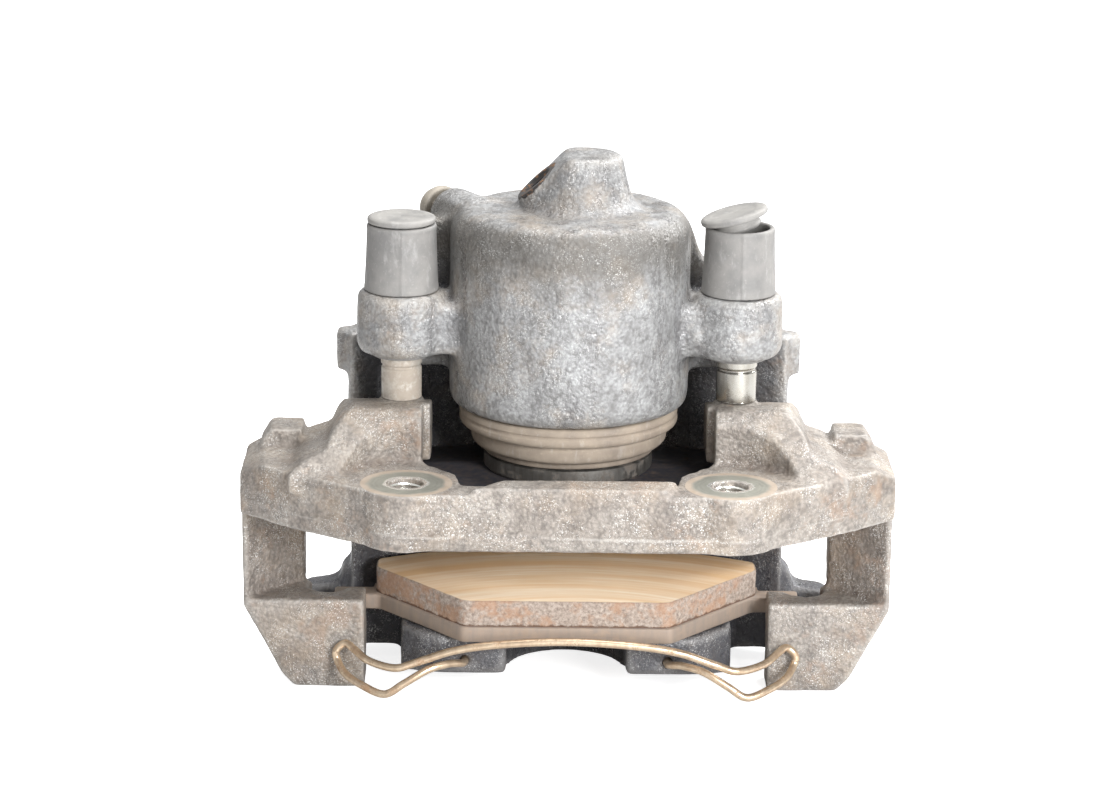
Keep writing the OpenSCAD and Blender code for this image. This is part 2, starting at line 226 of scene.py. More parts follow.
def spline(points, per_span):
    """Catmull-Rom curve through points: each span blends its four nearest points with
    the cubic 0.5(2b + (c-a)t + (2a-5b+4c-d)t^2 + (3b-a-3c+d)t^3)."""
    p = np.asarray(points, float)
    p = np.vstack([p[:1], p, p[-1:]])
    a, b, c, d = (p[i:len(p) - 3 + i, None] for i in range(4))
    t = (np.arange(per_span) / per_span)[None, :, None]
    curve = 0.5 * (2 * b + (c - a) * t + (2 * a - 5 * b + 4 * c - d) * t ** 2
                   + (3 * b - a - 3 * c + d) * t ** 3)
    return np.vstack([curve.reshape(-1, 3), p[-1:]])


def swept(path, radius, sides=16):
    """Points of a circle carried along a path in mm. The circle's first axis is the
    cross product of the path's direction and a fixed slanted vector, which no part
    of the path follows; the ends close over three shrinking rings each."""
    path = np.asarray(path, float)
    along = np.gradient(path, axis=0)
    along /= np.linalg.norm(along, axis=1)[:, None]
    side = np.cross(along, (0.3, 0.2, 1.0))
    side /= np.linalg.norm(side, axis=1)[:, None]
    up = np.cross(side, along)
    cap = np.radians([0, 30, 60, 90])
    rings = np.concatenate([cap[::-1], np.zeros(len(path)), cap])
    centre = np.vstack([path[:1] - along[:1] * radius * np.sin(cap[::-1])[:, None], path,
                        path[-1:] + along[-1:] * radius * np.sin(cap)[:, None]])
    side, up = (np.vstack([np.repeat(v[:1], len(cap), 0), v, np.repeat(v[-1:], len(cap), 0)])
                for v in (side, up))
    angle = np.linspace(0, 2 * np.pi, sides, endpoint=False)[None, :, None]
    circle = side[:, None] * np.cos(angle) + up[:, None] * np.sin(angle)
    points = centre[:, None] + radius * np.cos(rings)[:, None, None] * circle
    return points * MM, grid_faces(len(points), sides, wrap_rows=False)


def extruded(outline, levels):
    """A closed flat outline in mm carried upwards through levels of (z, inset): each
    ring is the outline moved inwards along its corners' mean normals by the inset."""
    p = np.asarray(outline, float)
    side = np.roll(p, -1, 0) - p
    normal = np.stack([side[:, 1], -side[:, 0]], -1)
    normal /= np.linalg.norm(normal, axis=1)[:, None]
    mean = normal + np.roll(normal, 1, 0)
    mean /= np.maximum((mean * normal).sum(1), 0.4)[:, None]
    rings = [np.column_stack([p - mean * inset, np.full(len(p), z)]) for z, inset in levels]
    n, last = len(p), len(levels) - 1
    faces = [tuple(f) for f in grid_faces(len(levels), n, wrap_rows=False)]
    faces += [tuple(range(n)), tuple(last * n + i for i in range(n))]
    return np.array(rings) * MM, faces


# %% [markdown]
# ## Random values that repeat
# Cast and pressed surfaces are uneven. The unevenness comes from value noise: each
# corner of a lattice has a number scrambled from its own place, so that every run
# gives the same surface, and points between the corners blend them smoothly.

# %% Lattice noise
def lattice_noise(points, cell, seed):
    """Values from -1 to 1 at points: scrambled numbers on a cubic lattice with that
    cell, blended along each axis by the smooth step 3t^2 - 2t^3."""
    q = np.asarray(points, float) / cell
    base = np.floor(q).astype(np.int64)
    t = q - base
    t = t * t * (3 - 2 * t)
    total = np.zeros(len(q))
    for dx in (0, 1):
        for dy in (0, 1):
            for dz in (0, 1):
                h = ((base[:, 0] + dx) * 73856093) ^ ((base[:, 1] + dy) * 19349663)
                h = (h ^ ((base[:, 2] + dz) * 83492791) ^ (seed * 2654435)) & 0xFFFFFFFF
                h = ((h ^ (h >> 13)) * 1274126177) & 0xFFFFFFFF
                value = ((h ^ (h >> 16)) & 0xFFFF) / 32767.5 - 1
                weight = (t[:, 0] if dx else 1 - t[:, 0]) * (t[:, 1] if dy else 1 - t[:, 1])
                total += value * weight * (t[:, 2] if dz else 1 - t[:, 2])
    return total


# %% [markdown]
# ## Cast iron skins
# Sand castings have no sharp edges: every corner is rounded by the mould, inner
# corners have fillets, and the skin is slightly wavy. Bevelling each CAD edge by hand
# would be slow, so a copy of each casting is rebuilt on a voxel grid, which joins all
# of its parts into one skin, and then smoothed. Machined places are held still by a
# mask, as a caster would machine them after the pour.

# %% Rebuilding a casting
def points_of(mesh):
    """A mesh's points as an array."""
    co = np.empty(len(mesh.vertices) * 3, np.float32)
    mesh.vertices.foreach_get("co", co)
    return co.reshape(-1, 3).astype(float)


def normals_of(mesh):
    """A mesh's point normals as an array."""
    normals = np.empty(len(mesh.vertices) * 3, np.float32)
    mesh.vertex_normals.foreach_get("vector", normals)
    return normals.reshape(-1, 3).astype(float)


def neighbour_mean(values, edges, count):
    """For each point, the mean of a value over the points that share an edge with it."""
    both = np.concatenate([edges, edges[:, ::-1]])
    degree = np.maximum(np.bincount(both[:, 0], minlength=count), 1)
    columns = [np.bincount(both[:, 0], values[both[:, 1], i], count) / degree
               for i in range(values.shape[1])]
    return np.stack(columns, -1)


def edges_of(mesh):
    """A mesh's edges as an array of pairs of point numbers."""
    edges = np.empty(len(mesh.edges) * 2, np.int32)
    mesh.edges.foreach_get("vertices", edges)
    return edges.reshape(-1, 2)


def store_value(mesh, label, values):
    """Stores a value for each point, kept between 0 and 1."""
    attribute = mesh.attributes.new(label, "FLOAT", "POINT")
    attribute.data.foreach_set("value", np.clip(values, 0, 1).astype(np.float32))


def store_wear(mesh, near=4, far=0):
    """Stores what materials read about the shape round each point. edge_wear compares
    the point with the mean of its surroundings after `near` rounds of averaging: 0 is
    a hollow, 0.5 is flat and 1 is a sharp outer edge. grime_and_shade does the same over
    `far` rounds, and is 1 deep in a corner and 0 in the open; the iron paints dirt and
    painted shade there with it."""
    co, normals, edges = points_of(mesh), normals_of(mesh), edges_of(mesh)
    sharpest, deepest = 0.8 * MM, 2.2 * MM
    mean = co
    for done in range(1, max(near, far) + 1):
        mean = neighbour_mean(mean, edges, len(co))
        stand_out = ((co - mean) * normals).sum(1)
        if done == near:
            store_value(mesh, "edge_wear", 0.5 + stand_out / sharpest)
        if done == far:
            store_value(mesh, "grime_and_shade", -stand_out / deepest)


def cast_skin(name, node, voxel, rounds, free, waviness, lumps=(), parting=None):
    """Rebuilds a copy of a CAD casting on a voxel grid and smooths it. free(points in
    mm) gives 1 where the skin may move and 0 where it was machined. Waviness is the
    height of the broad unevenness in mm; lumps are (centre, radius, height) in mm.
    Parting is (z, height) in mm of the line where the two halves of the mould met. It
    wanders a little, and shows on the faces that look towards the wheel hub."""
    mesh = nodes[node].data.copy()
    skin = bpy.data.objects.new(name, mesh)
    scene.collection.objects.link(skin)
    work = bmesh.new()
    work.from_mesh(mesh)
    bmesh.ops.remove_doubles(work, verts=work.verts, dist=1e-6)
    work.to_mesh(mesh)
    work.free()
    rebuild = skin.modifiers.new("rebuild", "REMESH")
    rebuild.mode = "VOXEL"
    rebuild.voxel_size = voxel * MM
    depsgraph = bpy.context.evaluated_depsgraph_get()
    mesh = bpy.data.meshes.new_from_object(skin.evaluated_get(depsgraph))
    skin.modifiers.clear()
    skin.data = mesh
    mesh.name = name
    co, edges = points_of(mesh), edges_of(mesh)
    loose = free(co / MM)[:, None]
    for _ in range(rounds):
        co = co + 0.5 * loose * (neighbour_mean(co, edges, len(co)) - co)
    mesh.vertices.foreach_set("co", co.astype(np.float32).ravel())
    mesh.update()
    normals = normals_of(mesh)
    height = waviness * (0.6 * lattice_noise(co, 9 * MM, 3) + 0.4 * lattice_noise(co, 4 * MM, 5)
                         + 0.35 * lattice_noise(co, 2.2 * MM, 8))
    for centre, radius, rise in lumps:
        gap = np.linalg.norm(co / MM - np.array(centre), axis=1) / radius
        height += rise * np.exp(-gap ** 2)
    if parting:
        level, rise = parting
        wander = 0.8 * lattice_noise(co, 14 * MM, 12)
        facing = np.clip(-normals[:, 1], 0, 1) ** 2
        height += rise * facing * np.exp(-((co[:, 2] / MM - level - wander) / 0.7) ** 2)
    co = co + normals * (height * MM)[:, None] * loose
    co[:, 2] = np.maximum(co[:, 2], cad_low.z)
    mesh.vertices.foreach_set("co", co.astype(np.float32).ravel())
    mesh.update()
    store_wear(mesh, far=40)
    mesh.shade_smooth()
    print(name, len(mesh.vertices), "points")
    return skin


def near_axis(p, at, radius, low, high):
    """1 for points within radius of an upright axis and between two heights, in mm."""
    gap = np.hypot(p[:, 0] - at[0], p[:, 1] - at[1])
    return (gap < radius) & (p[:, 2] > low) & (p[:, 2] < high)


GUIDE = (53.0, 39.0)
MOUNT = (50.0, 0.0)


def carrier_free(p):
    """The carrier was machined round its mounting holes and its guide pins' seats."""
    right = np.column_stack([np.abs(p[:, 0]), p[:, 1], p[:, 2]])
    held = near_axis(right, MOUNT, 15.3, -1.2, 1.0) | near_axis(right, MOUNT, 6.6, -20, 1)
    held |= near_axis(right, GUIDE, 7.6, 14.0, 18.0) | near_axis(right, GUIDE, 5.6, -3, 18)
    return np.where(held, 0.0, 1.0)


def housing_free(p):
    """The housing was machined in its bore, its ears' bores and on the fingers' feet."""
    right = np.column_stack([np.abs(p[:, 0]), p[:, 1], p[:, 2]])
    held = near_axis(p, (0, axis_y / MM), 31.6, 12, 68) | near_axis(right, GUIDE, 10.4, 30, 54)
    held |= p[:, 2] < -76.8
    return np.where(held, 0.0, 1.0)


housing_skin = cast_skin("housing_casting", "housing", 1.15, 7, housing_free, 0.16,
                         lumps=[((40.5, 33.5, 39.5), 4.2, 3.2), ((-41.5, 36.0, 41), 3.0, 1.0)])
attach(housing_skin, "housing")
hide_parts("housing")

carrier_skin = cast_skin("carrier_casting", "carrier", 0.78, 5, carrier_free, 0.2,
                         parting=(-12.6, 0.65))
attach(carrier_skin, "carrier")
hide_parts("carrier")

# %% [markdown]
# ## Machined bosses with threads
# The mounting bosses were faced flat and tapped. A tapped hole shows as a fine
# helical ridge, so the hole's wall is a grid whose radius follows a triangle wave of
# height minus angle: moving one turn round moves the wave up by one pitch.

# %% Thread and faced ring
def tapped_ring(name, body, slot, face_r, hole_r, depth, pitch, place):
    """A faced ring with a tapped hole. The wall's radius is hole_r + ridge * (wave -
    0.55), with wave going from 0 to 1 and back as z / pitch - angle / 360 goes up by 1.
    The outer side is a plain wall buried in the casting."""
    rows = int(depth / pitch * 8)
    ridge = 0.6 * pitch
    wall = [(hole_r, z) for z in np.linspace(-depth, -1.1, rows)]
    profile = wall + [
        (hole_r + 0.3, -0.9), (hole_r + 1.15, 0.02), (face_r - 0.5, 0.02), (face_r, -0.45),
        (face_r, -1.4), (hole_r + 1.6, -2.2), (hole_r + 1.6, -depth)]

    def thread(r, z, angle):
        wave = np.abs(((z / pitch - angle / (2 * np.pi)) % 1.0) - 0.5) * 2
        r[:rows] += ridge * (wave[:rows] - 0.55)
        return r

    points, faces = turned(profile, segments=96, shape=thread)
    return add_piece(name, placed(points, place), faces, body, slot)


for side, word in ((-1, "left"), (1, "right")):
    tapped_ring("mount_boss_" + word, "carrier", "carrier_iron", 14.7, 5.15, 17.5, 1.5,
                Matrix.Translation((side * MOUNT[0] * MM, 0, 0)))

port_turn = Matrix.Rotation(math.radians(-42), 4, "Y")
port_place = Matrix.Translation((-10.8 * MM, 49 * MM, 85.3 * MM)) @ port_turn
tapped_ring("hose_port", "housing", "housing_iron", 8.4, 4.45, 12, 1.0, port_place)

# %% [markdown]
# ## Dust boot
# The boot keeps grit off the piston. It is a thin rubber tube with two stepped folds:
# its upper bead sits in the cylinder's rim and its lower lip in a groove of the
# piston. A turned profile makes it in one go. It joins two bodies that slide, but it
# is fixed where it stands and rides on neither.

# %% Dust boot
piston_end = piston_low.z / MM
lip = piston_end + 5.7
boot_profile = softened([
    (29.2, 16.4), (31, 16.4), (31, 13.9), (34.2, 13.7), (34.8, 12.6), (34.9, 11.6), (34.4, 11.1),
    (34.4, 10.4), (34.9, 9.9), (34.8, 8.6), (34, 7.6), (31.3, 7.2), (31.0, 6.4), (31.3, 5.6),
    (31.2, 2.8), (30.4, 1.7), (27.8, 1.0), (27.3, lip), (25.3, lip), (25.3, lip + 1.8),
    (27.05, lip + 2.1), (28.4, 2.6), (29.8, 3.4), (29.8, 8.2), (32.8, 8.8), (33.3, 9.4),
    (33.3, 12.2), (29.4, 12.4)], 0.9)


def boot_shape(r, z, angle):
    """The soft rubber is a little out of round, and more so lower down."""
    slack = np.clip((14 - z) / 12, 0, 1) * (z > 1.2)
    return r + slack * (0.22 * np.sin(3 * angle + 0.6) + 0.12 * np.sin(7 * angle + z * 0.4))


dust_boot = add_piece("dust_boot_folds", *turned(boot_profile, (0, axis_y / MM, 0), 160, boot_shape),
                      ("housing", "piston", (0, axis_y, 13.5 * MM), (0, axis_y, 1.2 * MM)),
                      "boot_rubber", ["dust_boot"])

# %% [markdown]
# ## Guide bushes and caps
# Each bush is a moulded rubber sleeve, slightly tapered so that it leaves its mould,
# with the thin line where the mould's halves met. A fitted cap closes the left one. The
# right cap has worked loose and stands tilted in the mouth.

# %% Bushes
def seam(r, z, angle):
    """A low ridge down the front and back of the sleeve, where the mould's halves met.
    Its section is a bell curve of the distance round the sleeve, from both lines."""
    sleeve_r, ridge_width, ridge_height = 11, 0.45, 0.28
    ridge = 0
    for line in (-np.pi / 2, np.pi / 2):
        away = np.angle(np.exp(1j * (angle - line - 0.05))) * sleeve_r
        ridge = ridge + np.exp(-(away / ridge_width) ** 2)
    raised = ridge_height * ridge * (z > 52.4) * (r > 9.5)
    return r + raised + 0.06 * np.sin(5 * angle + z * 0.1) * (r > 10)


bush_profile = softened([
    (6.55, 30.9), (9.4, 30.9), (9.5, 31.9), (9.5, 52.0), (11.7, 52.1), (11.75, 52.9), (11.6, 54),
    (11.15, 63), (10.9, 71.2), (11.0, 72.4), (10.6, 73.2), (9.5, 73.2), (9.2, 72.6), (9.2, 67),
    (6.55, 64)], 0.6)
for side, word in ((-1, "left"), (1, "right")):
    add_piece("guide_sleeve_" + word, *turned(bush_profile, (side * GUIDE[0], GUIDE[1], 0), 160, seam),
              "housing", "bush_rubber", ["guide_bush_" + word])

# %% Caps
cap_profile = softened([
    (0.02, 2.0), (6.8, 2.05), (7.6, 2.2), (9.7, 2.15), (10.6, 1.7), (10.75, 0.9), (10.6, 0.25),
    (10.1, 0.02), (7.7, 0.0), (7.4, -1.6), (7.9, -2.5), (7.2, -3.5), (6.3, -3.5), (6.2, -0.3),
    (0.02, -0.2)], 0.35, 3)


cap_points, cap_faces = turned(cap_profile, segments=128)
left_place = Matrix.Translation((-GUIDE[0] * MM, GUIDE[1] * MM, 73.5 * MM))
right_place = (Matrix.Translation((51.3 * MM, GUIDE[1] * MM, 75.8 * MM))
               @ Matrix.Rotation(math.radians(-14.4), 4, "Y"))
for word, place in (("left", left_place), ("right", right_place)):
    add_piece("sleeve_cap_" + word, placed(cap_points, place), cap_faces,
              "guide_cap_" + word, "cap_plastic", ["guide_cap_" + word])

# %% [markdown]
# ## Guide pins
# The pins are ground steel. Each one shows a short length between the carrier's boss
# and the ear, where old grease and dust have dried on it. The left one is caked, and
# the right one has stayed bright.

# %% Pins
pin_profile = softened([
    (0.02, -0.9), (4.95, -0.9), (4.95, 16.9), (6.3, 17.05), (6.45, 17.6), (6.4, 26.9),
    (6.0, 27.3), (6.0, 27.9), (6.5, 28.3), (6.5, 63.9), (5.9, 64.5), (4.1, 64.5),
    (4.04, 56.6), (0.02, 56.2)], 0.3, 3)


def dried_dirt(r, z, angle):
    """Caked dirt makes the lower shank uneven by a tenth of a millimetre or so."""
    crust = np.clip((27 - z) / 3, 0, 1) * (z > 17.5) * (r > 6)
    return r - crust * 0.12 * (1 + np.sin(4 * angle + z) * np.sin(2 * angle - 0.7 * z))


for side, word in ((-1, "left"), (1, "right")):
    add_piece("ground_pin_" + word, *turned(pin_profile, (side * GUIDE[0], GUIDE[1], 0), 96, dried_dirt),
              "carrier", "pin_steel", ["guide_pin_" + word])

# %% [markdown]
# ## Anti-rattle spring
# One length of spring wire, bent in a former: a bow across the fingers, a run back to
# each outboard block, a loop against the block's face, and an end hooked into a hole
# of the finger plate. The path's points are those of the CAD model, and a spline
# makes the bends round.

# %% Spring
wire_half = [
    (0, 9, -54.4), (20, 9, -55.4), (35, 9, -57.6), (47, 9, -61.6),
    (54, 9, -63.6), (62.5, 15, -63.4), (67.5, 23, -62.4), (70.5, 26.3, -61.6),
    (73.4, 26.3, -64.2), (72.8, 25.4, -67.4), (70, 20, -69.8), (64.4, 12, -70.6),
    (57.2, 8, -72), (51, 8, -68.4), (43.5, 10, -64.4), (37, 13.5, -63.6),
    (32.5, 17.5, -64.6), (32.5, 24, -64.7)]
wire_path = [(-x, y, z) for x, y, z in wire_half[:0:-1]] + wire_half
add_piece("wire_spring", *swept(spline(wire_path, 12), 1.25, 16), "housing", "spring_wire",
          ["anti_rattle_spring"])

# %% [markdown]
# ## Brake pads
# A pad is a pressed block of friction compound on a steel backplate. The compound's
# edge is rough and a little crumbled, and the disc has worn its face flat, so the
# outline is made uneven while the face stays straight. The outer edge of a pad is an
# arc about the wheel's axis, like the scores that the disc draws on its face.

# %% Pads
HUB_Y, DISC_Z = -57.0, -31.4
PAD_ARC_R, PAD_HALF = 129.0, 62.5
PAD_FRONT_HALF, PAD_FRONT_Y, PAD_SHOULDER_Y = 33.0, 12.0, 46.0


def arc_outline(radius, x_from, x_to, count):
    """Points on the circle about the wheel's axis between two distances from the middle."""
    x = np.linspace(x_from, x_to, count)
    return np.column_stack([x, np.sqrt(radius ** 2 - x ** 2) + HUB_Y])


def dense(outline, step):
    """The same outline with extra points, so that no side is longer than the step."""
    p = np.asarray(outline, float)
    pieces = []
    for a, b in zip(p, np.roll(p, -1, 0)):
        count = max(1, int(np.linalg.norm(b - a) / step))
        pieces.append(a + (b - a) * (np.arange(count) / count)[:, None])
    return np.vstack(pieces)


def pad_outline(inset):
    """Straight front edge, slanted shoulders, short ends and an outer arc, anticlockwise."""
    half, front_half = PAD_HALF - inset, PAD_FRONT_HALF - inset / 2
    front, shoulder = PAD_FRONT_Y + inset, PAD_SHOULDER_Y + inset / 2
    corners = [(-front_half, front), (front_half, front), (half, shoulder)]
    return np.vstack([corners, arc_outline(PAD_ARC_R - inset, half, -half, 30),
                      [(-half, shoulder)]])


def lining(name, body, z_face, z_back, node):
    """The friction block: rings of the outline from the backplate to the worn face."""
    outline = dense(softened(pad_outline(0.8), 2.0, 5), 0.8)
    up = 1 if z_face > z_back else -1
    levels = [(z_back + up * d, 0.0) for d in np.linspace(0.02, abs(z_face - z_back) - 0.7, 9)]
    levels += [(z_face - up * 0.35, 0.18), (z_face - up * 0.1, 0.42), (z_face, 0.85)]
    points, faces = extruded(outline, levels)
    flat = points.reshape(-1, 3)
    rough = lattice_noise(flat, 2.5 * MM, 21) * 0.16 + lattice_noise(flat, 1.2 * MM, 22) * 0.1
    middle = np.array([0, axis_y, 0])
    away = flat - middle
    away[:, 2] = 0
    away /= np.linalg.norm(away, axis=1)[:, None]
    flat = flat + away * ((rough - 0.22) * MM)[:, None]
    return add_piece(name, flat, faces, body, "friction_lining", [node])


def backplate(name, body, z_low, z_high, node):
    """The backplate: the pad's outline with an ear at each end that rests on a ledge."""
    ear_low, ear_high, ear_x, ear_root = 43.6, 51.5, 75.2, 60.4
    right = [(-PAD_FRONT_HALF, PAD_FRONT_Y), (PAD_FRONT_HALF, PAD_FRONT_Y), (ear_root, ear_low),
             (ear_x, ear_low), (ear_x, ear_high), (PAD_HALF, ear_high)]
    arc = arc_outline(PAD_ARC_R, PAD_HALF, -PAD_HALF, 30)
    left = [(-PAD_HALF, ear_high), (-ear_x, ear_high), (-ear_x, ear_low), (-ear_root, ear_low)]
    outline = dense(softened(np.vstack([right, arc, left]), 1.4, 4), 3.0)
    levels = [(z_low, 0.5), (z_low + 0.15, 0.18), (z_low + 0.5, 0.0), (z_high - 0.7, 0.0),
              (z_high - 0.2, 0.1), (z_high, 0.35)]
    points, faces = extruded(outline, levels)
    return add_piece(name, points, faces, body, "backplate_steel", [node])


inner_low, inner_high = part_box("inner_lining")
outer_low, outer_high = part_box("outer_lining")
inner_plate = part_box("inner_backplate")
outer_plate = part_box("outer_backplate")
lining("inner_friction_block", "piston", inner_low.z / MM, inner_high.z / MM, "inner_lining")
lining("outer_friction_block", "outer_pad", outer_high.z / MM, outer_low.z / MM, "outer_lining")
backplate("inner_pad_plate", "piston", inner_plate[0].z / MM, inner_plate[1].z / MM, "inner_backplate")
backplate("outer_pad_plate", "outer_pad", outer_plate[0].z / MM, outer_plate[1].z / MM, "outer_backplate")

# %% [markdown]
# ## Bleed screw and its cap
# The bleed screw lets air out of the cylinder. Only its hexagon and nipple show, and
# a rubber cap with a moulded collar keeps dirt out of it.

# %% Bleed screw
bleed_place = (Matrix.Translation((-38.3 * MM, 70.8 * MM, 70 * MM))
               @ Matrix.Rotation(math.radians(120), 4, "Z") @ Matrix.Rotation(math.radians(90), 4, "Y"))


def hexagon(r, z, angle):
    """Between z = 0.2 and 4.4 the wall is a hexagon: r cos 30 / cos of the angle to the
    nearest flat's middle."""
    across = np.cos(np.pi / 6) / np.cos((angle % (np.pi / 3)) - np.pi / 6)
    return np.where((z > 0.2) & (z < 4.4) & (r > 4.5), r * across, r)


screw_profile = softened([
    (0.8, -11.8), (1.2, -12), (3.35, -9.6), (3.35, 0.3), (5.3, 0.35), (5.8, 0.8), (5.8, 3.8), (5.3, 4.3),
    (3.0, 4.35), (2.6, 4.8), (2.6, 6.8), (3.1, 7.2), (3.1, 8.4), (2.5, 9.6), (0.8, 9.6)], 0.3, 3)
screw_points, screw_faces = turned(screw_profile, segments=96, shape=hexagon)
add_piece("bleed_screw_turned", placed(screw_points, bleed_place), screw_faces, "bleed_screw",
          "small_steel", ["bleed_screw"])

bleed_cap_profile = softened([
    (3.25, 4.65), (6.6, 4.65), (7.15, 5.4), (7.15, 7.6), (6.6, 8.8), (6.0, 10.4), (4.4, 11.2),
    (0.02, 11.35), (0.02, 9.95), (3.25, 9.95)], 0.5)
bleed_cap_points, bleed_cap_faces = turned(bleed_cap_profile, segments=96)
add_piece("bleed_cap_moulded", placed(bleed_cap_points, bleed_place), bleed_cap_faces, "bleed_cap",
          "seal_rubber", ["bleed_cap"])

# %% [markdown]
# ## Materials
# Effects that several materials share are node groups: iron grain with painted glints
# and painted shade, rust, settled dust and rubbed edges. Each material places the groups
# that it needs, with its own values, and keeps its shader to itself. Small helper
# functions keep the node code short enough to read.

# %% Node helpers
def new_node(tree, kind, **settings):
    """Adds a node and sets its properties."""
    made = tree.nodes.new(kind)
    for key, value in settings.items():
        setattr(made, key, value)
    return made


def feed(tree, socket, value):
    """Links an output to an input, or sets the input's own value."""
    if isinstance(value, bpy.types.NodeSocket):
        tree.links.new(value, socket)
    else:
        socket.default_value = value


def colour(r, g, b):
    """A colour given as it looks on a screen, from 0 to 255, made linear."""
    linear = [((v / 255 + 0.055) / 1.055) ** 2.4 if v > 10 else v / 255 / 12.92 for v in (r, g, b)]
    return (*linear, 1.0)


def mix(tree, amount, a, b, blend="MIX"):
    """A colour between a and b."""
    made = new_node(tree, "ShaderNodeMix", data_type="RGBA", blend_type=blend)
    for index, value in ((0, amount), (6, a), (7, b)):
        feed(tree, made.inputs[index], value)
    return made.outputs[2]


def maths(tree, operation, a, b=0.0, clamp=False):
    """One arithmetic step on numbers."""
    made = new_node(tree, "ShaderNodeMath", operation=operation, use_clamp=clamp)
    feed(tree, made.inputs[0], a)
    feed(tree, made.inputs[1], b)
    return made.outputs[0]


def remap(tree, value, low, high, to_low=0.0, to_high=1.0):
    """A number moved from one range to another and kept inside it."""
    made = new_node(tree, "ShaderNodeMapRange")
    for index, item in enumerate((value, low, high, to_low, to_high)):
        feed(tree, made.inputs[index], item)
    return made.outputs[0]


def noise(tree, coords, size, detail=3.0, rough=0.55, stretch=None):
    """Fractal noise whose largest blobs are about `size` mm across."""
    if stretch is not None:
        mapping = new_node(tree, "ShaderNodeMapping")
        mapping.inputs["Scale"].default_value = stretch
        feed(tree, mapping.inputs["Vector"], coords)
        coords = mapping.outputs[0]
    made = new_node(tree, "ShaderNodeTexNoise")
    feed(tree, made.inputs["Vector"], coords)
    made.inputs["Scale"].default_value = 1 / (size * MM)
    made.inputs["Detail"].default_value = detail
    made.inputs["Roughness"].default_value = rough
    return made.outputs["Fac"]


def group(name, inputs, outputs):
    """An empty shader node group with named number inputs and outputs."""
    tree = bpy.data.node_groups.new(name, "ShaderNodeTree")
    for label, value in inputs:
        socket = tree.interface.new_socket(label, in_out="INPUT", socket_type="NodeSocketFloat")
        socket.default_value = value
    for label in outputs:
        tree.interface.new_socket(label, in_out="OUTPUT", socket_type="NodeSocketFloat")
    return tree, new_node(tree, "NodeGroupInput"), new_node(tree, "NodeGroupOutput")


def place_group(tree, name, **values):
    """Puts a shared group into a material, with its own values."""
    made = new_node(tree, "ShaderNodeGroup", node_tree=bpy.data.node_groups[name])
    for label, value in values.items():
        feed(tree, made.inputs[label], value)
    return made


